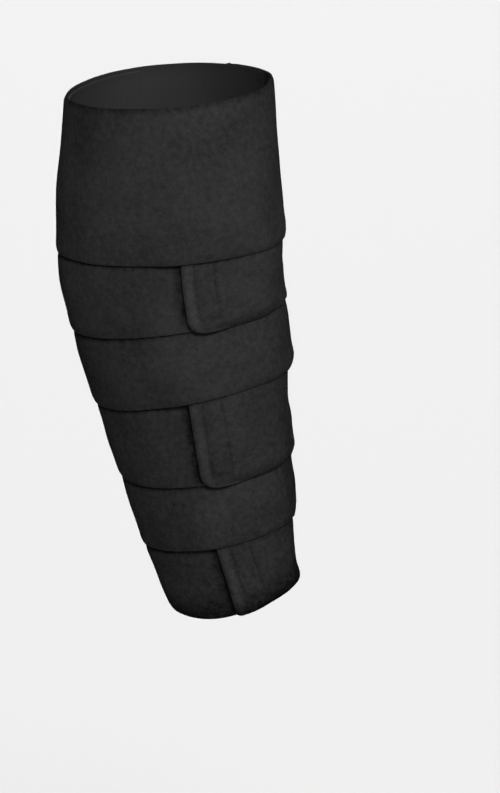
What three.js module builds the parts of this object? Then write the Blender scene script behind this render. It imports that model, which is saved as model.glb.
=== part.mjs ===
// Calf compression wrap: six padded straps wound one turn each, every strap lapped over the one
// below it and closed on itself by a hook patch, all sewn to one panel down the back.
// Millimetres. +Z runs from the ankle hem up to the knee hem, -Y is the front, +X is the viewer's
// right seen from the front. The origin is the middle of the ankle opening.
import * as THREE from "three";

// Driving dimensions
const FABRIC = 1.6; // thickness of the padded strap fabric
const PANEL = 1.5; // thickness of the back panel
const HOOK = 0.8; // thickness of a hook patch
const GAP = 0.3; // air between two layers
const OVERLAP = 14; // how far each strap reaches down over the strap below it
const LAP_STEP = FABRIC + HOOK + 2 * GAP; // how far a closed strap end stands off its own start
const COLUMN_ANGLE = 7.5; // degrees of the wrap's girth that one facet spans

// Up to where a strap is lifted by the whole thickness of the strap below it
const LIFT_MARGIN = 2;
const LIFT_TOP = OVERLAP + LIFT_MARGIN;

// How many degrees a strap takes to climb over its own start, and where up its rounded corner, as a
// share of the radius, a row of facets breaks
const CLIMB_ANGLE = 26;
const CORNER_ROW = 0.3;

// Back panel: half its spread in degrees, the clear margin and the slope of the straps beside it,
// its inset hems and its rows of facets
const PANEL_HALF_ANGLE = 40;
const PANEL_MARGIN_ANGLE = 1;
const PANEL_SLOPE_ANGLE = 15;
const PANEL_HEM_INSET = 2;
const PANEL_ROWS = 12;

// Hook patch: its length along the strap, cut short where the lap is shorter, its margins inside
// the lap's ends and the strap's edges, and its columns of facets
const PATCH_LENGTH = 20;
const PATCH_END_MARGIN = 4;
const PATCH_EDGE_MARGIN = 6;
const PATCH_COLUMNS = 6;

// The hollow that the straps are wound round, in sections at equal heights from HOLLOW_BASE up
const HOLLOW_BASE = -50;
const HOLLOW_STEP = 50;
const FRONT_NARROWING = 0.1; // the section is an oval, narrower at the front
const HOLLOW_SECTIONS = [
  { halfWidth: 29.8, halfDepth: 35.8, centreY: -10 },
  { halfWidth: 33.9, halfDepth: 40.4, centreY: 0 },
  { halfWidth: 40.8, halfDepth: 46.3, centreY: 12.3 },
  { halfWidth: 49, halfDepth: 53, centreY: 22.8 },
  { halfWidth: 57.2, halfDepth: 60.2, centreY: 32.5 },
  { halfWidth: 60.4, halfDepth: 63, centreY: 41.8 },
  { halfWidth: 59.8, halfDepth: 61.9, centreY: 40.6 },
  { halfWidth: 57, halfDepth: 58.5, centreY: 41.4 },
  { halfWidth: 55, halfDepth: 56.5, centreY: 42 },
];

// Edges across the wrap from the knee hem down: height on the axis, and the rise of the edge at the
// front and at the +X side. Strap n lies between edge n-1 and edge n.
const EDGES = [
  { height: 301, frontRise: 3, sideRise: 4 },
  { height: 209, frontRise: 4.5, sideRise: 2 },
  { height: 165.5, frontRise: 10, sideRise: 2 },
  { height: 125, frontRise: 12.5, sideRise: 4.5 },
  { height: 78, frontRise: 6.5, sideRise: 6 },
  { height: 39.5, frontRise: 9, sideRise: 5.5 },
  { height: 0, frontRise: 7.3, sideRise: 8.8 },
];

// Straps from the knee hem down. side is the way the strap is wound, +1 ending on the +X side of the
// front. It is lapped over itself from startAngle to endAngle, measured from the front, and
// cornerRadius rounds the two corners of its end. slant is how far the end draws back from its top
// corner to its low one. settle is how far up from LIFT_TOP the strap takes to lie close again. Each
// startAngle is half a facet off a whole number of them, so that the facets of straps wound both
// ways lie at the same angles.
const STRAPS = [
  { name: "strap_1_knee", side: 1, startAngle: 48.75, endAngle: 94, cornerRadius: 8, slant: 0, settle: 50 },
  { name: "strap_2", side: -1, startAngle: 11.25, endAngle: 55, cornerRadius: 8, slant: 0, settle: 23 },
  { name: "strap_3", side: 1, startAngle: 48.75, endAngle: 94, cornerRadius: 8, slant: 0, settle: 20 },
  { name: "strap_4", side: -1, startAngle: 11.25, endAngle: 62, cornerRadius: 8, slant: -2, settle: 20 },
  { name: "strap_5", side: 1, startAngle: 48.75, endAngle: 98, cornerRadius: 8, slant: 0, settle: 20 },
  { name: "strap_6_ankle", side: -1, startAngle: 11.25, endAngle: 67, cornerRadius: 3, slant: 6, settle: 20 },
];

const radians = THREE.MathUtils.degToRad;
const { lerp, euclideanModulo, smoothstep } = THREE.MathUtils;

// Surface of the hollow

const hollowCurve = new THREE.CatmullRomCurve3(
  HOLLOW_SECTIONS.map((s) => new THREE.Vector3(s.halfWidth, s.halfDepth, s.centreY)),
  false,
  "catmullrom",
);

function hollowSection(height) {
  const along = (height - HOLLOW_BASE) / (HOLLOW_STEP * (HOLLOW_SECTIONS.length - 1));
  const [halfWidth, halfDepth, centreY] = hollowCurve.getPoint(along).toArray();
  return { halfWidth, halfDepth, centreY };
}

// The point that stands off the hollow by that much, at an angle from the front and a height
function hollowPoint(angle, height, standoff) {
  const { halfWidth, halfDepth, centreY } = hollowSection(height);
  const sin = Math.sin(radians(angle));
  const cos = Math.cos(radians(angle));
  const narrowing = 1 - FRONT_NARROWING * cos;
  const tangent = new THREE.Vector2(
    halfWidth * (cos * narrowing + FRONT_NARROWING * sin * sin),
    halfDepth * sin,
  ).normalize();
  return new THREE.Vector3(
    halfWidth * sin * narrowing + tangent.y * standoff,
    centreY - halfDepth * cos - tangent.x * standoff,
    height,
  );
}

// How far round the hollow one degree goes, on average
function degreeLength(height) {
  const { halfWidth, halfDepth } = hollowSection(height);
  return radians((halfWidth + halfDepth) / 2);
}

function edgeHeight(edge, angle) {
  return edge.height + edge.frontRise * Math.cos(radians(angle)) + edge.sideRise * Math.sin(radians(angle));
}

// Layers

const lowEdge = (index, angle) => edgeHeight(EDGES[index + 1], angle);
const highEdge = (index, angle) => edgeHeight(EDGES[index], angle) + (index > 0 ? OVERLAP : 0);
const lapAngle = (strap) => strap.endAngle - strap.startAngle;

// 1 at the back where the panel lies under a strap, sloping to 0 beside it
function panelCover(angle) {
  const fromBack = Math.abs(euclideanModulo(angle, 360) - 180);
  const clear = PANEL_HALF_ANGLE + PANEL_MARGIN_ANGLE;
  return 1 - smoothstep(fromBack, clear, clear + PANEL_SLOPE_ANGLE);
}

// 1 where a strap is closed over its own start, sloping to 0 on both sides
function lapCover(strap, angle) {
  const run = euclideanModulo(strap.side * angle - strap.startAngle, 360);
  const past = 1 - smoothstep(run, lapAngle(strap), lapAngle(strap) + CLIMB_ANGLE);
  return Math.max(past, smoothstep(run, 360 - CLIMB_ANGLE, 360));
}

// How far a strap's inner face stands off the hollow, before it climbs over its own start
function layerStandoff(index, angle, height) {
  const below = STRAPS[index + 1];
  const panel = panelCover(angle) * (PANEL + GAP);
  if (!below) return panel;
  const above = height - lowEdge(index, angle);
  const lift = 1 - THREE.MathUtils.clamp((above - LIFT_TOP) / STRAPS[index].settle, 0, 1);
  return panel + lift * (FABRIC + GAP + lapCover(below, angle) * LAP_STEP);
}

// Solids

// A closed sheet from a grid of points: pointAt(column, row, face), with face 0 inner and 1 outer.
// Columns run counterclockwise seen from above unless reversed, and rows run upwards.
function sheetGeometry(columns, rows, reversed, pointAt) {
  const positions = [];
  const index = [];
  const across = rows + 1;
  const faceSize = (columns + 1) * across;
  for (const face of [0, 1]) {
    for (let c = 0; c <= columns; c++) {
      for (let r = 0; r <= rows; r++) positions.push(...pointAt(c, r, face).toArray());
    }
  }
  const at = (c, r, face) => face * faceSize + c * across + r;
  const quad = (a, b, c, d) => {
    if (reversed) index.push(a, c, b, a, d, c);
    else index.push(a, b, c, a, c, d);
  };
  for (let c = 0; c < columns; c++) {
    for (let r = 0; r < rows; r++) {
      quad(at(c, r, 1), at(c + 1, r, 1), at(c + 1, r + 1, 1), at(c, r + 1, 1));
      quad(at(c, r, 0), at(c, r + 1, 0), at(c + 1, r + 1, 0), at(c + 1, r, 0));
    }
    quad(at(c, 0, 0), at(c + 1, 0, 0), at(c + 1, 0, 1), at(c, 0, 1));
    quad(at(c, rows, 1), at(c + 1, rows, 1), at(c + 1, rows, 0), at(c, rows, 0));
  }
  for (let r = 0; r < rows; r++) {
    quad(at(0, r, 0), at(0, r, 1), at(0, r + 1, 1), at(0, r + 1, 0));
    quad(at(columns, r, 1), at(columns, r, 0), at(columns, r + 1, 0), at(columns, r + 1, 1));
  }
  const geometry = new THREE.BufferGeometry();
  geometry.setAttribute("position", new THREE.Float32BufferAttribute(positions, 3));
  geometry.setIndex(index);
  geometry.computeVertexNormals();
  return geometry;
}

// Heights of a strap's rows at one angle: close together at the rounded corners, one row at each
// break of the lift over the strap below, and one more between them on the wide knee strap
function strapRows(index, angle) {
  const low = lowEdge(index, angle);
  const high = highEdge(index, angle);
  const { cornerRadius, settle } = STRAPS[index];
  const ups = [0, cornerRadius * CORNER_ROW, cornerRadius, LIFT_TOP, LIFT_TOP + settle];
  if (index === 0) ups.splice(4, 0, LIFT_TOP + settle / 2);
  return [...ups.map((up) => low + up), high - cornerRadius, high];
}

// How far a rounded end draws back at a distance from the strap's edge
function cornerSetback(fromEdge, radius) {
  const short = Math.max(radius - fromEdge, 0);
  return radius - Math.sqrt(radius * radius - short * short);
}

// How many degrees a strap laps over its own start at one height of its end
function lapAt(index, height) {
  const { side, endAngle, cornerRadius, slant } = STRAPS[index];
  const fromLow = height - lowEdge(index, side * endAngle);
  const fromHigh = highEdge(index, side * endAngle) - height;
  const corners = cornerSetback(fromLow, cornerRadius) + cornerSetback(fromHigh, cornerRadius);
  const setback = corners + (slant * fromHigh) / (fromLow + fromHigh);
  return lapAngle(STRAPS[index]) - setback / degreeLength(height);
}

function strapGeometry(index) {
  const { side, startAngle, endAngle } = STRAPS[index];
  const turnColumns = 360 / COLUMN_ANGLE;
  const lapColumns = Math.round(lapAngle(STRAPS[index]) / COLUMN_ANGLE);
  const endRows = strapRows(index, side * endAngle);
  const pointAt = (c, r, face) => {
    const lap = lapAt(index, endRows[r]);
    const run = c <= turnColumns ? c * COLUMN_ANGLE : 360 + lap * ((c - turnColumns) / lapColumns);
    const angle = side * (startAngle + run);
    const height = strapRows(index, angle)[r];
    const climb = smoothstep(run, 360 - CLIMB_ANGLE, 360) * LAP_STEP;
    return hollowPoint(angle, height, layerStandoff(index, angle, height) + climb + face * FABRIC);
  };
  return sheetGeometry(turnColumns + lapColumns, endRows.length - 1, side < 0, pointAt);
}

function hookPatchGeometry(index) {
  const { side, startAngle, endAngle } = STRAPS[index];
  const rowsAt = (angle) => {
    const rows = strapRows(index, angle);
    const breaks = rows.slice(3, -2);
    return [rows[0] + PATCH_EDGE_MARGIN, ...breaks, rows.at(-1) - PATCH_EDGE_MARGIN];
  };
  const endRows = rowsAt(side * endAngle);
  const perDegree = degreeLength(endRows[0]);
  const margin = PATCH_END_MARGIN / perDegree;
  const pointAt = (c, r, face) => {
    const far = lapAt(index, endRows[r]) - margin;
    const near = Math.max(far - PATCH_LENGTH / perDegree, margin);
    const angle = side * (startAngle + lerp(near, far, c / PATCH_COLUMNS));
    const height = rowsAt(angle)[r];
    return hollowPoint(angle, height, layerStandoff(index, angle, height) + FABRIC + GAP + face * HOOK);
  };
  return sheetGeometry(PATCH_COLUMNS, endRows.length - 1, side < 0, pointAt);
}

function backPanelGeometry() {
  const columns = Math.round((2 * PANEL_HALF_ANGLE) / COLUMN_ANGLE);
  const pointAt = (c, r, face) => {
    const angle = 180 + PANEL_HALF_ANGLE * ((2 * c) / columns - 1);
    const low = edgeHeight(EDGES.at(-1), angle) + PANEL_HEM_INSET;
    const high = edgeHeight(EDGES[0], angle) - PANEL_HEM_INSET;
    return hollowPoint(angle, lerp(low, high, r / PANEL_ROWS), face * PANEL);
  };
  return sheetGeometry(columns, PANEL_ROWS, false, pointAt);
}

// Materials

const strapFabric = new THREE.MeshStandardMaterial({ color: 0x2c2c2c, roughness: 0.95, metalness: 0 });
const panelFabric = new THREE.MeshStandardMaterial({ color: 0x262626, roughness: 0.95, metalness: 0 });
const hookTape = new THREE.MeshStandardMaterial({ color: 0x1a1a1a, roughness: 0.7, metalness: 0 });

// Assembly

const wrap = new THREE.Group();
wrap.name = "calf_compression_wrap";

function addPiece(name, geometry, material) {
  const piece = new THREE.Mesh(geometry, material);
  piece.name = name;
  wrap.add(piece);
}

addPiece("back_panel", backPanelGeometry(), panelFabric);
STRAPS.forEach((strap, index) => {
  addPiece(strap.name, strapGeometry(index), strapFabric);
  addPiece(`hook_patch_${index + 1}`, hookPatchGeometry(index), hookTape);
});

export default wrap;
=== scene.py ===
# Calf compression wrap: six padded straps lapped from knee hem to ankle hem over a back panel
import math

import bpy
import numpy as np
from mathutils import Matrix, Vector


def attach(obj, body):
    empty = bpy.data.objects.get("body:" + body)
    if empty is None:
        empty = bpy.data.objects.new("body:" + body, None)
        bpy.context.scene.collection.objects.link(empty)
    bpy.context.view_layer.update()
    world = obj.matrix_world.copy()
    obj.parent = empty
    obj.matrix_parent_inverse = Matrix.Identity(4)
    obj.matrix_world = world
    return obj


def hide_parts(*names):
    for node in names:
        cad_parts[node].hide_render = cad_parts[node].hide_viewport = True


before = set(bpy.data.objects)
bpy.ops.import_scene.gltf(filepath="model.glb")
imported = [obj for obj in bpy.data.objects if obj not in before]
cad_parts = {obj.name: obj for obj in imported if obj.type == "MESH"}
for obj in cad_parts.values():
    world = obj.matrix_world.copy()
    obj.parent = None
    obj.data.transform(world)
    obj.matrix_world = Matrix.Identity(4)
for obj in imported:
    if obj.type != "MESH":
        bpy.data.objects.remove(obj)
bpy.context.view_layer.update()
bpy.ops.object.select_all(action="DESELECT")
mm = 0.001
print("frame loaded:", len(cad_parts), "nodes")

# the hollow that the straps are wound round: sections at equal heights from below the ankle hem up, in mm
hollow = {
    "base": -50,
    "step": 50,
    "halfWidth": [29.8, 33.9, 40.8, 49, 57.2, 60.4, 59.8, 57, 55],
    "halfDepth": [35.8, 40.4, 46.3, 53, 60.2, 63, 61.9, 58.5, 56.5],
    "centreY": [-10, 0, 12.3, 22.8, 32.5, 41.8, 40.6, 41.4, 42],
    "frontNarrowing": 0.1,
}

# edges across the wrap from the knee hem down, in mm: height on the axis, its rise at the front and at
# the +X side, then a rise at the back alone and a drop beside the front
edges = [
    {"height": 301, "frontRise": 3, "sideRise": 4, "backRise": 0, "drop": 0},
    {"height": 208.3, "frontRise": 4.2, "sideRise": 2, "backRise": 1, "drop": 0},
    {"height": 165.5, "frontRise": 9.2, "sideRise": 2, "backRise": 5, "drop": 0},
    {"height": 125, "frontRise": 12, "sideRise": 4.5, "backRise": 5, "drop": 3},
    {"height": 78, "frontRise": 6.5, "sideRise": 6, "backRise": 5, "drop": 2.5},
    {"height": 38.5, "frontRise": 9, "sideRise": 5.5, "backRise": 2, "drop": 2.5},
    {"height": 0, "frontRise": 7.3, "sideRise": 8.8, "backRise": 0, "drop": 2.4},
]
edgeBend = {"backSpread": 40, "dropAngle": 32, "dropSpread": 25}  # degrees, from the front

# straps from the knee hem down: the way they are wound and their lap, in degrees from the front. In mm:
# the height that a strap takes to settle, the radius of its end's corners, how far the low corner draws
# back behind the top one and lifts off, and how far the closed end's low edge hangs
straps = [
    {
        "name": "strap_1_knee", "side": 1, "start": 48.75, "end": 94, "settle": 50,
        "corner": 8, "slant": 0, "cornerLift": 0.4, "sag": 0.8,
    },
    {
        "name": "strap_2", "side": -1, "start": 11.25, "end": 55.8, "settle": 23,
        "corner": 8, "slant": 0, "cornerLift": 0.5, "sag": 1.6,
    },
    {
        "name": "strap_3", "side": 1, "start": 48.75, "end": 94, "settle": 20,
        "corner": 8, "slant": 0, "cornerLift": 0.4, "sag": 0.8,
    },
    {
        "name": "strap_4", "side": -1, "start": 11.25, "end": 63.1, "settle": 20,
        "corner": 8, "slant": -2, "cornerLift": 0.5, "sag": 2,
    },
    {
        "name": "strap_5", "side": 1, "start": 48.75, "end": 98, "settle": 20,
        "corner": 8, "slant": 0, "cornerLift": 0.4, "sag": 0.8,
    },
    {
        "name": "strap_6_ankle", "side": -1, "start": 11.25, "end": 67.3, "settle": 20,
        "corner": 2, "slant": 3.5, "cornerLift": 2.2, "sag": 0.8,
    },
]

# cloth layers in mm, and the degrees over which a strap climbs onto what lies under it
layers = {
    "fabric": 1.6,
    "panel": 1.5,
    "hook": 0.8,
    "gap": 0.3,
    "overlap": 14,
    "liftTop": 16,
    "climb": 26,
    "panelHalf": 40,
    "panelMargin": 1,
    "panelSlope": 24,
}
lapStep = layers["fabric"] + layers["hook"] + 2 * layers["gap"]


def smoothStep(x, low, high):
    t = np.clip((x - low) / (high - low), 0, 1)
    return t * t * (3 - 2 * t)


def bell(x, width):
    return np.exp(-((x / width) ** 2))


def fade(x, reach):  # 1 at 0, falling evenly to 0 at the reach
    return np.clip(1 - x / reach, 0, 1)


def turnFrom(angle, middle):
    return np.mod(angle - middle + 180, 360) - 180


def hollowSection(z):
    # half width, half depth and centre on a smooth curve through the sections
    justInside = len(hollow["halfWidth"]) - 1.001
    at = np.clip((z - hollow["base"]) / hollow["step"], 0, justInside)
    i = np.floor(at).astype(int)
    t = at - i
    section = []
    for row in ("halfWidth", "halfDepth", "centreY"):
        p = np.array(hollow[row], float)
        p = np.concatenate([[2 * p[0] - p[1]], p, [2 * p[-1] - p[-2]]])
        a, b, c, d = p[i], p[i + 1], p[i + 2], p[i + 3]
        section.append(b + 0.5 * t * (c - a + t * (2 * a - 5 * b + 4 * c - d + t * (3 * (b - c) + d - a))))
    return section


def hollowPoint(angle, z, standoff):
    halfWidth, halfDepth, centreY = hollowSection(z)
    sin, cos = np.sin(np.radians(angle)), np.cos(np.radians(angle))
    narrowing = 1 - hollow["frontNarrowing"] * cos
    along = halfWidth * (cos * narrowing + hollow["frontNarrowing"] * sin * sin)
    back = halfDepth * sin
    size = np.hypot(along, back)
    x = halfWidth * sin * narrowing + back / size * standoff
    y = centreY - halfDepth * cos - along / size * standoff
    return np.stack([x, y, z], -1)


def degreeLength(z):  # mm round the hollow in one degree
    halfWidth, halfDepth, _ = hollowSection(z)
    return np.radians((halfWidth + halfDepth) / 2)


def edgeHeight(edge, angle):
    rad = np.radians(angle)
    level = edge["height"] + edge["frontRise"] * np.cos(rad) + edge["sideRise"] * np.sin(rad)
    level = level + edge["backRise"] * bell(turnFrom(angle, 180), edgeBend["backSpread"])
    return level - edge["drop"] * bell(turnFrom(angle, edgeBend["dropAngle"]), edgeBend["dropSpread"])


def strapEdges(index, angle):
    low = edgeHeight(edges[index + 1], angle)
    high = edgeHeight(edges[index], angle) + (layers["overlap"] if index else 0)
    return low, high


def isLowest(index):
    return index + 1 == len(straps)


def lapAngle(strap):
    return strap["end"] - strap["start"]


def endLine(index, up):  # degrees run to the end's slanting line, for mm up from the low edge there
    strap = straps[index]
    low, high = strapEdges(index, strap["side"] * strap["end"])
    setback = strap["slant"] * (1 - up / (high - low))
    return 360 + lapAngle(strap) - setback / degreeLength(low + up)


def strapEnd(index, up):  # the same to the cut end with its rounded corners
    strap = straps[index]
    low, high = strapEdges(index, strap["side"] * strap["end"])
    radius = strap["corner"]
    short = np.clip(radius - np.minimum(up, high - low - up), 0, radius)
    setback = radius - np.sqrt(radius**2 - short**2)
    return endLine(index, up) - setback / degreeLength(low + up)


def panelCover(angle):
    fromBack = np.abs(np.mod(angle, 360) - 180)
    clear = layers["panelHalf"] + layers["panelMargin"]
    return 1 - smoothStep(fromBack, clear, clear + layers["panelSlope"])


def lapCover(strap, angle):
    run = np.mod(strap["side"] * angle - strap["start"], 360)
    lap = lapAngle(strap)
    past = 1 - smoothStep(run, lap, lap + layers["climb"])
    return np.maximum(past, smoothStep(run, 360 - layers["climb"], 360))


# soft relief of the worn cloth, in mm, with the degrees from the front where its edges lie loosest
relief = {
    "wave": 0.3,
    "hemRoll": 0.8,
    "hemReach": 7,
    "press": 0.4,
    "pressReach": 5,
    "seamDepth": 0.28,
    "seamWidth": 1.2,
    "looseAngle": 35,
    "looseSpread": 40,
}

# slanting ripples: how many fit round the wrap, and their pitch up it in mm
bodyRipples = {"seed": 11, "count": 9, "turns": (1, 8), "pitch": (45, 130)}
edgeRipples = {"seed": 20, "count": 9, "turns": (5, 22), "pitch": (70, 200)}

# where the worn wrap swells out from its plain form, or is drawn in: degrees from the front and mm
swells = [
    {"angle": 28, "spread": 30, "z": 288, "reach": 24, "size": 1},
    {"angle": 28, "spread": 30, "z": 246, "reach": 13, "size": -0.9},
    {"angle": 28, "spread": 30, "z": 211, "reach": 14, "size": 3.4},
    {"angle": 28, "spread": 30, "z": 167, "reach": 9, "size": 1.5},
    {"angle": 28, "spread": 30, "z": 140, "reach": 6, "size": 1.4},
    {"angle": 28, "spread": 30, "z": 87, "reach": 9, "size": 1.3},
    {"angle": 28, "spread": 30, "z": 8, "reach": 7, "size": 2},
    {"angle": -150, "spread": 35, "z": 285, "reach": 22, "size": -0.8},
    {"angle": -150, "spread": 35, "z": 245, "reach": 14, "size": 1.2},
    {"angle": -150, "spread": 35, "z": 213, "reach": 14, "size": -1.2},
    {"angle": -150, "spread": 35, "z": 174, "reach": 10, "size": -1},
    {"angle": -150, "spread": 35, "z": 146, "reach": 10, "size": 1.3},
    {"angle": -150, "spread": 35, "z": 60, "reach": 10, "size": 1},
    {"angle": -150, "spread": 35, "z": 26, "reach": 10, "size": 1},
    {"angle": -150, "spread": 35, "z": -12, "reach": 12, "size": -2.2},
]


def clothWave(angle, z, ripples, index=0):
    # a sum of slanting ripples that closes on itself round the wrap
    draw = np.random.default_rng(ripples["seed"] + index)
    total = 0
    for _ in range(ripples["count"]):
        turns = draw.integers(*ripples["turns"])
        slant = draw.choice([-1, 1]) / draw.uniform(*ripples["pitch"])
        total = total + np.sin(turns * np.radians(angle) + 2 * np.pi * (slant * z + draw.random()))
    return total / math.sqrt(ripples["count"])


def nearFront(angle):  # 1 a little to the side of the front, where the edges lie loosest
    return bell(turnFrom(angle, relief["looseAngle"]), relief["looseSpread"])


def wornForm(angle, z):
    # how far the worn layers at one place all lie off the plain hollow
    form = relief["wave"] * clothWave(angle, z, bodyRipples)
    for swell in swells:
        around = bell(turnFrom(angle, swell["angle"]), swell["spread"])
        form = form + swell["size"] * around * bell(z - swell["z"], swell["reach"])
    fromHem = np.minimum(edgeHeight(edges[0], angle) - z, z - edgeHeight(edges[-1], angle))
    roll = relief["hemRoll"] * (1 - nearFront(angle))
    return form - roll * fade(fromHem, relief["hemReach"]) ** 2


def pressedShare(angle):  # how thick the hidden part of a strap stays
    return 1 - relief["press"] * (1 - nearFront(angle))


# sewn lines in mm: the patch box inside a strap's end, the seams beside the back panel in degrees from
# its middle, and one stitch
sewing = {
    "endInset": 7,
    "boxLength": 11,
    "edgeInset": 7.5,
    "lineOverrun": 1,
    "seamAngle": 33,
    "seamMargin": 3.5,
    "stitch": 2.7,
    "pitch": 3.3,
    "thread": 0.45,
    "flatness": 0.8,
    "sides": 8,
    "rings": 6,
}


def sewnLine(index, run, up, width):
    # 1 on the lines that are sewn, falling to 0 beside them
    strap = straps[index]
    angle = strap["side"] * (strap["start"] + run)
    low, high = strapEdges(index, angle)
    perDegree = degreeLength(low + up)
    fromTop = high - low - up
    inset, first, overrun = sewing["edgeInset"], sewing["endInset"], sewing["lineOverrun"]
    last = first + sewing["boxLength"]
    fromEnd = (endLine(index, up) - run) * perDegree
    inHeight = (up > inset - overrun) & (fromTop > inset - overrun) & (run > 180)
    inLength = (fromEnd > first - overrun) & (fromEnd < last + overrun)
    sides = np.maximum(bell(fromEnd - first, width), bell(fromEnd - last, width))
    ends = np.maximum(bell(up - inset, width), bell(fromTop - inset, width)) * inLength
    seam = bell((np.abs(np.mod(angle, 360) - 180) - sewing["seamAngle"]) * perDegree, width)
    return np.maximum(np.maximum(sides, ends) * inHeight, seam)


# a strap's free low edge, in mm: it hugs what it lies on and flares beside the front. It is free some
# degrees past the lap
freeEdge = {
    "flare": -0.12,
    "frontFlare": 0.7,
    "frontFall": 1.8,
    "reach": 8,
    "uneven": 0.45,
    "unevenLimits": (0.3, 1.7),
    "freeFrom": 1,
    "freeTo": 8,
}

# a strap's closed end, in mm: its low edge droops and sags below the patch, its rim puffs and curls
closedEnd = {
    "droop": 2.8,
    "droopAtEnd": 0.4,
    "droopFrom": 6,
    "droopTo": 20,
    "droopReach": 6,
    "sagReach": 20,
    "puff": 0.5,
    "puffInset": 2,
    "puffWidth": 1.6,
    "curl": 0.3,
    "curlWidth": 3,
    "puffFrom": 1,
    "puffTo": 10,
    "baredFrom": 1,
    "baredTo": 9,
    "cornerReach": 14,
    "cornerTop": 0.7,
}

ankleSag = {"size": 1.2, "angle": -80, "spread": 25}  # of the ankle hem at one side


def hangDown(index, angle, up, closed):
    # how far the low edge hangs below its line
    sag = straps[index]["sag"] * closed
    if isLowest(index):
        hanging = bell(turnFrom(angle, ankleSag["angle"]), ankleSag["spread"])
        sag = sag + ankleSag["size"] * (1 - closed) * hanging
    return sag * fade(up, closedEnd["sagReach"])


def layersUnder(index, angle, up):
    # how far a strap stands off over the back panel and the strap below it
    standoff = panelCover(angle) * (layers["panel"] + layers["gap"])
    if isLowest(index):
        return standoff
    lift = 1 - smoothStep(up, layers["liftTop"], layers["liftTop"] + straps[index]["settle"])
    under = layers["fabric"] * pressedShare(angle) + layers["gap"]
    return standoff + lift * (under + lapCover(straps[index + 1], angle) * lapStep)


def lapClimb(fromEnd, up, closed):
    # the closed end climbs over its start, and its low edge droops below the patch
    grown = smoothStep(fromEnd, closedEnd["droopFrom"], closedEnd["droopTo"])
    droop = closedEnd["droop"] * (closedEnd["droopAtEnd"] + (1 - closedEnd["droopAtEnd"]) * grown)
    return closed * (lapStep - droop * fade(up, closedEnd["droopReach"]))


def edgeFlare(index, angle, run, up):
    # the free edges hug what they lie on, and stand proud of it beside the front
    if isLowest(index):
        return 0
    lap = lapAngle(straps[index])
    free = smoothStep(run, lap + freeEdge["freeFrom"], lap + freeEdge["freeTo"])  # 0 under the closed end
    size = freeEdge["flare"] + freeEdge["frontFlare"] * nearFront(angle) ** freeEdge["frontFall"]
    return size * fade(up, freeEdge["reach"]) ** 2 * free


def endPuff(fromEnd, up):
    # the closed end's rim is puffed and curls up a little
    puff = closedEnd["puff"] * bell(fromEnd - closedEnd["puffInset"], closedEnd["puffWidth"])
    puff = puff + closedEnd["curl"] * bell(fromEnd, closedEnd["curlWidth"])
    return puff * smoothStep(up, closedEnd["puffFrom"], closedEnd["puffTo"])


def strapPlace(index, run, up, depth):
    # a point on a strap: degrees run from its start, mm up from its low edge, mm out from its inner face
    strap = straps[index]
    angle = strap["side"] * (strap["start"] + run)
    low, high = strapEdges(index, angle)
    fromEnd = (strapEnd(index, np.minimum(up, high - low)) - run) * degreeLength(low + up)
    fromEnd = np.maximum(fromEnd, 0)
    closed = smoothStep(run, 360 - layers["climb"], 360)
    z = low + up - hangDown(index, angle, up, closed)
    standoff = layersUnder(index, angle, up) + lapClimb(fromEnd, up, closed) + wornForm(angle, z)
    bared = 1  # 0 where the strap above covers this one
    if index:
        bared = smoothStep(high - z - layers["overlap"], closedEnd["baredFrom"], closedEnd["baredTo"])
    loose = edgeFlare(index, angle, run, up) + endPuff(fromEnd, up) * bared
    uneven = 1 + freeEdge["uneven"] * clothWave(angle, z, edgeRipples, index)
    standoff = standoff + loose * np.clip(uneven, *freeEdge["unevenLimits"])
    lowCorner = 1 - smoothStep(up, 0, closedEnd["cornerTop"] * (high - low))
    standoff = standoff + strap["cornerLift"] * bell(fromEnd, closedEnd["cornerReach"]) * lowCorner
    dip = relief["seamDepth"] * sewnLine(index, run, up, relief["seamWidth"])  # stitches draw the cloth in
    return hollowPoint(angle, z, standoff - dip + depth)


# painted light on the loop cloth, as shares with their widths in mm: a painted highlight along the cut
# edges, and painted shade beside a closed end, on its rim, under the edge of the strap above, at the hems,
# along the stitches and towards the ankle
paintedLight = {
    "lowEdge": 0.6,
    "lowEdgeWidth": 2,
    "endHighlight": 1.2,
    "endHighlightFade": 0.8,
    "endHighlightInset": 3,
    "endHighlightWidth": 2.5,
    "besideEnd": 0.6,
    "besideEndWidth": 3.6,
    "besideLiftedEnd": 0.7,
    "endRim": 0.22,
    "endRimWidth": 1.2,
    "underEdge": 0.4,
    "underEdgeSwing": 0.32,
    "underShadowFaintAt": 20,
    "underEdgeWidth": 2,
    "kneeHem": 0.4,
    "kneeHemWidth": 3,
    "ankleHem": 0.56,
    "ankleHemWidth": 11,
    "ankleHemFront": 3,
    "ankleHighlightTop": 6,
    "sewn": 0.22,
    "sewnWidth": 1,
    "ankle": 0.14,
    "ankleFront": 0.26,
}


# painted light for a strap's cloth: a painted highlight along the cut edges and inside the closed end, and
# painted shade
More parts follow.
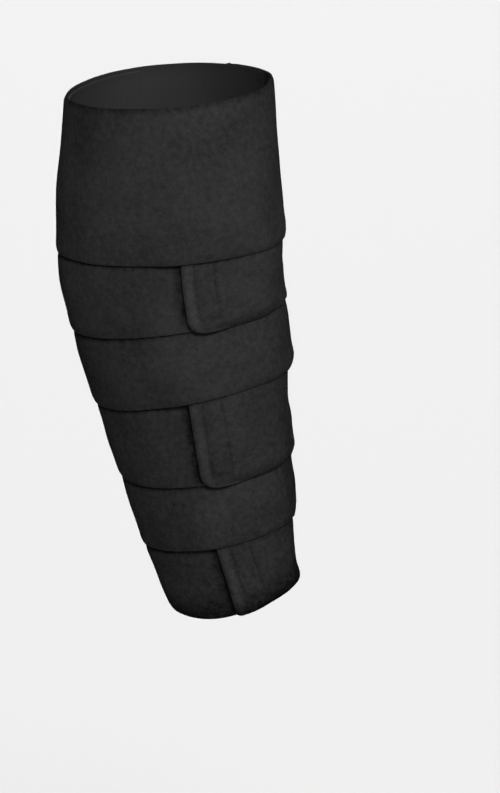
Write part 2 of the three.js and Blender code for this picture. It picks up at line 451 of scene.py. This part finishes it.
def strapPaintedLight(index, run, up):
    strap = straps[index]
    angle = strap["side"] * (strap["start"] + run)
    low, high = strapEdges(index, angle)
    share = up / (high - low)
    perDegree = degreeLength(low + up)
    end = strapEnd(index, np.minimum(up, high - low))
    fromEnd = (end - run) * perDegree
    # painted highlight just above the low edge and in a strip inside the closed end, brightest at its low
    # corner
    endHighlight = paintedLight["endHighlight"] - paintedLight["endHighlightFade"] * share
    endHighlight = endHighlight * bell(fromEnd - paintedLight["endHighlightInset"], paintedLight["endHighlightWidth"])
    edge = np.maximum(paintedLight["lowEdge"] * bell(up, paintedLight["lowEdgeWidth"]), endHighlight)
    # painted shadow beside the closed end, wider under a lifted corner, and painted shade on its rim and
    # along the stitches
    pastEnd = (run - end + 360) * perDegree
    besideWidth = paintedLight["besideEndWidth"] + paintedLight["besideLiftedEnd"] * strap["cornerLift"] * (1 - share)
    paintedShades = [
        np.where(pastEnd > 0, paintedLight["besideEnd"] * bell(pastEnd, besideWidth), 1),
        paintedLight["endRim"] * bell(fromEnd, paintedLight["endRimWidth"]),
        paintedLight["sewn"] * sewnLine(index, run, up, paintedLight["sewnWidth"]),
    ]
    if index:
        # painted shadow under the edge of the strap above, faintest beside the front
        shown = high - low - up - layers["overlap"]
        loose = np.cos(np.radians(angle - paintedLight["underShadowFaintAt"]))  # most beside the front
        underShadow = paintedLight["underEdge"] - paintedLight["underEdgeSwing"] * loose
        paintedShades.append(np.where(shown > 0, underShadow * bell(shown, paintedLight["underEdgeWidth"]), 1))
    else:
        # painted shade just below the knee hem
        paintedShades.append(paintedLight["kneeHem"] * bell(high - low - up, paintedLight["kneeHemWidth"]))
    if isLowest(index):
        # painted shade along the ankle hem, with the painted highlight faded out there
        hemWidth = paintedLight["ankleHemWidth"] + paintedLight["ankleHemFront"] * nearFront(angle)
        paintedShades.append(paintedLight["ankleHem"] * bell(up, hemWidth))
        edge = edge * smoothStep(up, 0, paintedLight["ankleHighlightTop"])
    # painted shade: darker towards the ankle hem, most of all beside the front
    paintedShading = paintedLight["ankle"] + paintedLight["ankleFront"] * nearFront(angle)
    paintedShading = paintedShading * fade(low + up, edges[0]["height"]) ** 2
    # all the painted shade together, as one share
    paintedShade = 1 - (1 - np.maximum.reduce(paintedShades)) * (1 - paintedShading)
    return {"edge": edge, "paintedShade": paintedShade}


thinRim = {"share": 0.55, "frontShare": 0.25, "frontAngle": -10, "frontSpread": 45, "reach": 4}


def strapThickness(index, run, up):
    # share of the cloth's thickness: thin at the rims, pressed where the strap above draws it in
    strap = straps[index]
    angle = strap["side"] * (strap["start"] + run)
    low, high = strapEdges(index, angle)
    perDegree = degreeLength(low + up)
    fromEnd = (strapEnd(index, np.minimum(up, high - low)) - run) * perDegree
    fromRim = np.minimum(np.minimum(up, high - low - up), np.minimum(fromEnd, run * perDegree))
    atFront = bell(turnFrom(angle, thinRim["frontAngle"]), thinRim["frontSpread"])
    thin = thinRim["share"] + thinRim["frontShare"] * atFront
    share = 1 - thin * fade(fromRim, thinRim["reach"]) ** 2
    if index:
        shown = smoothStep(high - low - up - layers["overlap"], 0, relief["pressReach"])
        share = share * (1 - (1 - pressedShare(angle)) * (1 - shown))
    return share


# cloth sheets

softRim = {"segments": 3, "angle": 50}


def runModifier(kind, **settings):
    bpy.ops.object.modifier_add(type=kind)
    modifier = bpy.context.object.modifiers[-1]
    for key, value in settings.items():
        setattr(modifier, key, value)
    bpy.ops.object.modifier_apply(modifier=modifier.name)


def setThickness(piece, share):
    group = piece.vertex_groups.new(name="thickness")
    steps = np.round(share, 2)  # in hundredths
    for step in np.unique(steps):
        group.add(np.flatnonzero(steps == step).tolist(), float(step), "REPLACE")
    return group.name


def makeSheet(name, grid, thickness, rim, turned, place):
    # a flat grid, laid round the hollow point by point, then given its thickness and soft rims
    bpy.ops.object.select_all(action="DESELECT")
    bpy.ops.mesh.primitive_grid_add(x_subdivisions=grid[0], y_subdivisions=grid[1], size=1)
    piece = bpy.context.object
    piece.name = piece.data.name = name
    mesh = piece.data
    flat = np.empty(len(mesh.vertices) * 3)
    mesh.vertices.foreach_get("co", flat)
    u, v = flat.reshape(-1, 3)[:, 0] + 0.5, flat.reshape(-1, 3)[:, 1] + 0.5
    points, cut, paintedShading, thick = place(u, v)
    mesh.vertices.foreach_set("co", (points * mm).ravel())
    corners = np.empty(len(mesh.loops), int)
    mesh.loops.foreach_get("vertex_index", corners)
    mesh.uv_layers.active.data.foreach_set("uv", (cut[corners] * mm).ravel())
    # attributes of painted light: a painted highlight and painted shade
    for key, values in paintedShading.items():
        mesh.attributes.new(key, "FLOAT", "POINT").data.foreach_set("value", values)
    mesh.update()
    if turned:
        bpy.ops.object.mode_set(mode="EDIT")
        bpy.ops.mesh.select_all(action="SELECT")
        bpy.ops.mesh.flip_normals()
        bpy.ops.object.mode_set(mode="OBJECT")
    area = sum(face.area for face in mesh.polygons)
    group = setThickness(piece, thick)
    runModifier("SOLIDIFY", thickness=thickness * mm, offset=1, use_even_offset=True, vertex_group=group)
    piece.vertex_groups.clear()
    sharp = math.radians(softRim["angle"])
    steps = softRim["segments"]
    runModifier("BEVEL", width=rim * mm, segments=steps, limit_method="ANGLE", angle_limit=sharp)
    bpy.ops.object.shade_smooth()
    return piece, area


def faceMaterials(piece, outer, inner):
    # faces that point into the hollow take the lining
    piece.data.materials.append(outer)
    piece.data.materials.append(inner)
    count = len(piece.data.polygons)
    centres, normals = np.empty(count * 3), np.empty(count * 3)
    piece.data.polygons.foreach_get("center", centres)
    piece.data.polygons.foreach_get("normal", normals)
    away = centres.reshape(-1, 3).copy()
    away[:, 1] -= hollowSection(away[:, 2] / mm)[2] * mm
    away[:, 2] = 0
    away /= np.linalg.norm(away, axis=1)[:, None]
    straightOut = (away * normals.reshape(-1, 3)).sum(axis=1)  # 1 straight out, -1 straight in
    inwards = straightOut < -0.5
    piece.data.polygons.foreach_set("material_index", inwards.astype(np.int32))


def finishPiece(piece, slot, *nodes):
    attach(piece, "root")
    if nodes:
        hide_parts(*nodes)


# materials

blueTint = 1.02  # the blacks lean a little to blue


def newMaterial(name):
    material = bpy.data.materials.new(name)
    material.use_nodes = True
    return material, material.node_tree, material.node_tree.nodes["Principled BSDF"]


def addNode(tree, kind, **settings):
    node = tree.nodes.new(kind)
    for key, value in settings.items():
        if key in node.inputs:
            node.inputs[key].default_value = value
        else:
            setattr(node, key, value)
    return node


def addScaled(tree, base, value, share):  # base + value * share
    node = addNode(tree, "ShaderNodeMath", operation="MULTIPLY_ADD")
    node.inputs[1].default_value = share
    tree.links.new(value, node.inputs[0])
    tree.links.new(base, node.inputs[2])
    return node.outputs[0]


def addPattern(tree, kind, coordinates, size, **settings):
    # a texture of one size in mm, on the piece's Object or UV coordinates
    pattern = addNode(tree, kind, Scale=1 / (size * mm), **settings)
    place = addNode(tree, "ShaderNodeTexCoord")
    tree.links.new(place.outputs[coordinates], pattern.inputs["Vector"])
    return pattern


def greyRamp(tree, value, look):
    ramp = addNode(tree, "ShaderNodeValToRGB")
    stops = sorted([(look["darkAt"], look["dark"]), (look["lightAt"], look["light"])])
    for element, (position, grey) in zip(ramp.color_ramp.elements, stops):
        element.position = position
        element.color = (grey, grey, grey * blueTint, 1)
    tree.links.new(value, ramp.inputs["Fac"])
    return ramp.outputs["Color"]


def addBump(tree, shader, height, look):
    bump = addNode(tree, "ShaderNodeBump", Strength=look["bump"], Distance=look["bumpDepth"] * mm)
    tree.links.new(height, bump.inputs["Height"])
    tree.links.new(bump.outputs["Normal"], shader.inputs["Normal"])


def setFinish(shader, look):
    shader.inputs["Roughness"].default_value = look["roughness"]
    shader.inputs["Specular IOR Level"].default_value = look["specular"]


loopLook = {
    "dark": 0.0028,
    "light": 0.0292,
    "darkAt": 0.02,
    "lightAt": 0.7,
    "roughness": 0.95,
    "specular": 0.0,
    "loopSize": 0.9,
    "loopScatter": 0.85,
    "loopShare": -0.1,
    "loopRelief": -0.6,
    "napSize": 3.2,
    "napDetail": 5.0,
    "napRoughness": 0.65,
    "napShare": 0.45,
    "brushSize": 40,
    "brushDetail": 2.0,
    "brushShare": 0.22,
    # shares of the painted highlight and the painted shade
    "edgeHighlight": 0.12,
    "shadeDrop": 0.4,
    "bump": 0.55,
    "bumpDepth": 0.5,
}


def loopCloth(name, look):
    # brushed loop face: fine loops, a mottled nap, faint wide brush marks, with a painted highlight at the
    # cut edges and painted shade
    material, tree, shader = newMaterial(name)
    link = tree.links.new
    loops = addPattern(tree, "ShaderNodeTexVoronoi", "UV", look["loopSize"], Randomness=look["loopScatter"])
    nap = addPattern(tree, "ShaderNodeTexNoise", "Object", look["napSize"], Detail=look["napDetail"])
    nap.inputs["Roughness"].default_value = look["napRoughness"]
    brush = addPattern(tree, "ShaderNodeTexNoise", "Object", look["brushSize"], Detail=look["brushDetail"])
    # the painted highlight and the painted shade, read from the strap's attributes
    edge = addNode(tree, "ShaderNodeAttribute", attribute_name="edge")
    paintedShade = addNode(tree, "ShaderNodeAttribute", attribute_name="paintedShade")
    tone = addNode(tree, "ShaderNodeMath", operation="MULTIPLY")
    tone.inputs[1].default_value = look["napShare"]
    link(nap.outputs["Fac"], tone.inputs[0])
    tone = addScaled(tree, tone.outputs[0], brush.outputs["Fac"], look["brushShare"])
    tone = addScaled(tree, tone, loops.outputs["Distance"], look["loopShare"])
    # lightened by the painted highlight, darkened by the painted shade
    tone = addScaled(tree, tone, edge.outputs["Fac"], look["edgeHighlight"])
    tone = addScaled(tree, tone, paintedShade.outputs["Fac"], -look["shadeDrop"])
    link(greyRamp(tree, tone, look), shader.inputs["Base Color"])
    height = addScaled(tree, nap.outputs["Fac"], loops.outputs["Distance"], look["loopRelief"])
    addBump(tree, shader, height, look)
    setFinish(shader, look)
    return material


knitLook = {
    "dark": 0.008,
    "light": 0.018,
    "darkAt": 0,
    "lightAt": 1,
    "roughness": 0.85,
    "specular": 0.2,
    "ribSize": 2.6,
    "ribSlack": 0.6,
    "ribDetail": 1.0,
    "courseSize": 1.82,
    "courseSlack": 0.4,
    "bump": 0.5,
    "bumpDepth": 0.25,
}


def knitLining(name, look):
    # fine knitted lining: ribs of stitches across the strap
    material, tree, shader = newMaterial(name)
    link = tree.links.new
    ribs = addPattern(tree, "ShaderNodeTexWave", "UV", look["ribSize"], Distortion=look["ribSlack"])
    ribs.inputs["Detail"].default_value = look["ribDetail"]
    courses = addPattern(tree, "ShaderNodeTexWave", "UV", look["courseSize"], Distortion=look["courseSlack"])
    courses.bands_direction = "Y"
    knit = addNode(tree, "ShaderNodeMath", operation="MULTIPLY")
    link(ribs.outputs["Fac"], knit.inputs[0])
    link(courses.outputs["Fac"], knit.inputs[1])
    link(greyRamp(tree, knit.outputs[0], look), shader.inputs["Base Color"])
    addBump(tree, shader, knit.outputs[0], look)
    setFinish(shader, look)
    return material


hookLook = {
    "dark": 0.005,
    "light": 0.016,
    "lightAt": 0,
    "darkAt": 0.8,
    "roughness": 0.55,
    "specular": 0.5,
    "hookSize": 1.1,
    "hookScatter": 0.15,
    "bump": -0.8,
    "bumpDepth": 0.5,
}


def hookTape(name, look):
    # nylon tape with rows of tiny hooks
    material, tree, shader = newMaterial(name)
    hooks = addPattern(tree, "ShaderNodeTexVoronoi", "UV", look["hookSize"], Randomness=look["hookScatter"])
    tree.links.new(greyRamp(tree, hooks.outputs["Distance"], look), shader.inputs["Base Color"])
    addBump(tree, shader, hooks.outputs["Distance"], look)
    setFinish(shader, look)
    return material


threadLook = {
    "dark": 0.004,
    "light": 0.010,
    "darkAt": 0.3,
    "lightAt": 0.7,
    "roughness": 0.7,
    "specular": 0.05,
    "twist": 0.5,
    "twistDetail": 3.0,
    "bump": 0.4,
    "bumpDepth": 0.1,
}


def sewingThread(name, look):
    # twisted black thread
    material, tree, shader = newMaterial(name)
    fibre = addPattern(tree, "ShaderNodeTexNoise", "Object", look["twist"], Detail=look["twistDetail"])
    tree.links.new(greyRamp(tree, fibre.outputs["Fac"], look), shader.inputs["Base Color"])
    addBump(tree, shader, fibre.outputs["Fac"], look)
    setFinish(shader, look)
    return material


loopFace = loopCloth("loop_cloth", loopLook)
lining = knitLining("knit_lining", knitLook)
hookNylon = hookTape("hook_nylon", hookLook)
blackThread = sewingThread("black_thread", threadLook)
print("materials ready")

# straps

# grid and rim, and the start's narrower cut in mm, which widens some degrees short of the lap's end
strapCut = {
    "columnAngle": 1.25,
    "rowSize": 1.3,
    "rim": 0.42,
    "startInset": 6,
    "insetFrom": 24,
    "insetTo": 10,
}


def windStrap(index):
    strap = straps[index]
    lap = lapAngle(strap)
    turn = 360 / (360 + lap)
    endLow, endHigh = strapEdges(index, strap["side"] * strap["end"])

    def place(u, v):
        endRun = strapEnd(index, v * (endHigh - endLow))
        run = np.where(u < turn, 360 * u / turn, 360 + (endRun - 360) * (u - turn) / (1 - turn))
        low, high = strapEdges(index, strap["side"] * (strap["start"] + run))
        full = smoothStep(run, lap - strapCut["insetFrom"], lap - strapCut["insetTo"])
        inset = strapCut["startInset"] * (1 - full)
        up = inset + v * (high - low - inset)
        cut = np.stack([run * degreeLength((low + high) / 2), up], -1)
        # with the painted highlight and painted shade of the strap's cloth
        return strapPlace(index, run, up, 0), cut, strapPaintedLight(index, run, up), strapThickness(index, run, up)

    columns = round((360 + lap) / strapCut["columnAngle"])
    rows = round((endHigh - endLow) / strapCut["rowSize"])
    name = strap["name"] + "_cloth"
    turned = strap["side"] < 0
    piece, area = makeSheet(name, (columns, rows), layers["fabric"], strapCut["rim"], turned, place)
    faceMaterials(piece, loopFace, lining)
    finishPiece(piece, "strap_fabric", strap["name"])


for index in range(len(straps)):
    windStrap(index)

# hook patches

patchCut = {"length": 20, "endMargin": 4, "edgeMargin": 6, "grid": (14, 30), "rim": 0.2}


def layPatch(index):
    strap = straps[index]
    endLow, endHigh = strapEdges(index, strap["side"] * strap["end"])

    def place(u, v):
        up = patchCut["edgeMargin"] + v * (endHigh - endLow - 2 * patchCut["edgeMargin"])
        back = patchCut["endMargin"] + patchCut["length"] * (1 - u)
        run = endLine(index, up) - 360 - back / degreeLength(endLow + up)
        points = strapPlace(index, run, up, layers["fabric"] + layers["gap"])
        return points, np.stack([u * patchCut["length"], up], -1), {}, np.ones(len(u))

    name = f"hook_patch_{index + 1}"
    turned = strap["side"] < 0
    piece, area = makeSheet(name + "_tape", patchCut["grid"], layers["hook"], patchCut["rim"], turned, place)
    piece.data.materials.append(hookNylon)
    finishPiece(piece, "hook_tape", name)


for index in range(len(straps)):
    layPatch(index)
print("hook patches laid")

# back panel

panelCut = {"name": "back_panel_cloth", "hemInset": 2, "grid": (64, 200), "rim": 0.5}


def layPanel():
    def place(u, v):
        angle = 180 + layers["panelHalf"] * (2 * u - 1)
        low = edgeHeight(edges[-1], angle) + panelCut["hemInset"]
        high = edgeHeight(edges[0], angle) - panelCut["hemInset"]
        z = low + v * (high - low)
        cut = np.stack([(angle - 180) * degreeLength(z), z], -1)
        return hollowPoint(angle, z, wornForm(angle, z)), cut, {}, np.ones(len(u))

    name, grid, rim = panelCut["name"], panelCut["grid"], panelCut["rim"]
    piece, area = makeSheet(name, grid, layers["panel"], rim, False, place)
    faceMaterials(piece, loopFace, lining)
    finishPiece(piece, "panel_fabric", "back_panel")


layPanel()

# stitches


def modelStitch():
    bpy.ops.object.select_all(action="DESELECT")
    bpy.ops.mesh.primitive_uv_sphere_add(segments=sewing["sides"], ring_count=sewing["rings"], radius=0.5)
    stitch = bpy.context.object
    bpy.ops.object.mode_set(mode="EDIT")
    bpy.ops.mesh.select_all(action="SELECT")
    thin = sewing["thread"] * mm
    bpy.ops.transform.resize(value=(sewing["stitch"] * mm, thin, thin * sewing["flatness"]))
    bpy.ops.object.mode_set(mode="OBJECT")
    points = np.array([v.co for v in stitch.data.vertices])
    faces = []
    for face in stitch.data.polygons:
        corners = list(face.vertices)
        faces.append(corners + corners[-1:] * (4 - len(corners)))  # a triangle repeats its last corner
    bpy.data.objects.remove(stitch)
    return points, np.array(faces)


stitchPoints, stitchFaces = modelStitch()


def stitchLine(index, lineStart, lineEnd):
    # the frame of each stitch between two (run, up) places: middle, then along, across and out
    def at(share, depth=0):
        run = lineStart[0] + (lineEnd[0] - lineStart[0]) * share
        up = lineStart[1] + (lineEnd[1] - lineStart[1]) * share
        return strapPlace(index, run, up, layers["fabric"] * strapThickness(index, run, up) + depth)

    ends = at(np.array([0.0, 1.0]))
    count = max(1, round(np.linalg.norm(ends[1] - ends[0]) / sewing["pitch"]))
    share = (np.arange(count) + 0.5) / count
    middle = at(share)
    reach = 0.3 / count  # each way along the line
    along = at(share + reach) - at(share - reach)
    along /= np.linalg.norm(along, axis=1)[:, None]
    out = at(share, 1) - middle
    out -= along * (out * along).sum(axis=1)[:, None]
    out /= np.linalg.norm(out, axis=1)[:, None]
    return middle * mm, np.stack([along, np.cross(out, along), out], 1)


def strapSeams(index):
    strap = straps[index]
    low, high = strapEdges(index, strap["side"] * strap["end"])
    far, near = sewing["endInset"], sewing["endInset"] + sewing["boxLength"]
    bottom, top = sewing["edgeInset"], high - low - sewing["edgeInset"]
    box = []
    for back, up in ((near, bottom), (far, bottom), (far, top), (near, top), (near, bottom)):
        box.append((endLine(index, up) - back / degreeLength(low + up), up))
    lines = list(zip(box, box[1:]))
    for away in (-1, 1):
        angle = 180 + away * sewing["seamAngle"]
        run = np.mod(strap["side"] * angle - strap["start"], 360)
        low, high = strapEdges(index, angle)
        covered = layers["overlap"] if index else sewing["seamMargin"]
        lines.append(((run, sewing["seamMargin"]), (run, high - low - covered)))
    return lines


def sewStrap(index):
    points, faces = [], []
    for line in strapSeams(index):
        for middle, axes in zip(*stitchLine(index, *line)):
            faces.append(stitchFaces + len(points) * len(stitchPoints))
            points.append(stitchPoints @ axes + middle)
    mesh = bpy.data.meshes.new(straps[index]["name"] + "_stitches")
    quads = [list(dict.fromkeys(face)) for face in np.concatenate(faces).tolist()]
    mesh.from_pydata(np.concatenate(points).tolist(), [], quads)
    mesh.materials.append(blackThread)
    piece = bpy.data.objects.new(mesh.name, mesh)
    bpy.context.scene.collection.objects.link(piece)
    bpy.ops.object.select_all(action="DESELECT")
    piece.select_set(True)
    bpy.context.view_layer.objects.active = piece
    bpy.ops.object.shade_smooth()
    finishPiece(piece, "strap_fabric")
    print(mesh.name, "sewn:", len(points))


for index in range(len(straps)):
    sewStrap(index)

# floor, light and camera

studio = {
    "floorDrop": 0.8,
    "floorSize": 120,
    "floorGrey": 0.42,
    "floorRoughness": 0.9,
    "sun": 6.2,
    "sunFrom": (-51, 42),
    "sunSoftness": 22,
    "backSun": 3,
    "backSunFrom": (120, 35),
    "backSunSoftness": 8,
    "sunAway": 3,
    "softbox": 2.6,
    "softboxFrom": (5, 42),
    "softboxAway": 0.7,
    "softboxSize": 0.3,
    "softboxAim": (0, 0.01, 0.26),
}
skyLook = {"light": 0.82, "lightAt": 0.05, "dark": 0.06, "darkAt": 0.12}


def direction(azimuth, elevation):
    a, e = math.radians(azimuth), math.radians(elevation)
    return Vector((math.sin(a) * math.cos(e), -math.cos(a) * math.cos(e), math.sin(e)))


def placeFacing(data, aim, fromWhere, away):
    # a lamp or camera that looks at its aim
    holder = bpy.data.objects.new(data.name, data)
    bpy.context.scene.collection.objects.link(holder)
    back = direction(*fromWhere)
    holder.location = Vector(aim) + back * away
    holder.rotation_euler = (-back).to_track_quat("-Z", "Y").to_euler()
    return holder


def layFloor(look):
    bpy.ops.object.select_all(action="DESELECT")
    bpy.ops.mesh.primitive_plane_add(size=look["floorSize"], location=(0, 0, -look["floorDrop"]))
    floor = bpy.context.object
    floor.name = "floor"
    material, _, shader = newMaterial("pale_floor")
    shader.inputs["Base Color"].default_value = (look["floorGrey"],) * 3 + (1,)
    shader.inputs["Roughness"].default_value = look["floorRoughness"]
    floor.data.materials.append(material)


def setWorld(look):
    # pale below and just above the horizon, dim over it
    world = bpy.data.worlds.new("studio")
    bpy.context.scene.world = world
    world.use_nodes = True
    tree = world.node_tree
    outlook = addNode(tree, "ShaderNodeTexCoord")
    height = addNode(tree, "ShaderNodeSeparateXYZ")
    tree.links.new(outlook.outputs["Generated"], height.inputs["Vector"])
    tree.links.new(greyRamp(tree, height.outputs["Z"], look), tree.nodes["Background"].inputs["Color"])


def setLamps(look):
    for name in ("sun", "backSun"):
        sun = bpy.data.lights.new(name, "SUN")
        sun.energy = look[name]
        sun.angle = math.radians(look[name + "Softness"])
        placeFacing(sun, (0, 0, 0), look[name + "From"], look["sunAway"])
    softbox = bpy.data.lights.new("softbox", "AREA")
    softbox.energy = look["softbox"]
    softbox.size = look["softboxSize"]
    placeFacing(softbox, look["softboxAim"], look["softboxFrom"], look["softboxAway"])
    bpy.context.scene.view_settings.view_transform = "Standard"


view = {"from": (-60, 16), "away": 2.1, "lens": 158.9, "aim": (0.0334, 0.0074, 0.1096)}


def setCamera(look):
    camera = bpy.data.cameras.new("camera")
    camera.lens = look["lens"]
    bpy.context.scene.camera = placeFacing(camera, look["aim"], look["from"], look["away"])


layFloor(studio)
setWorld(skyLook)
setLamps(studio)
setCamera(view)
print("studio and camera set")
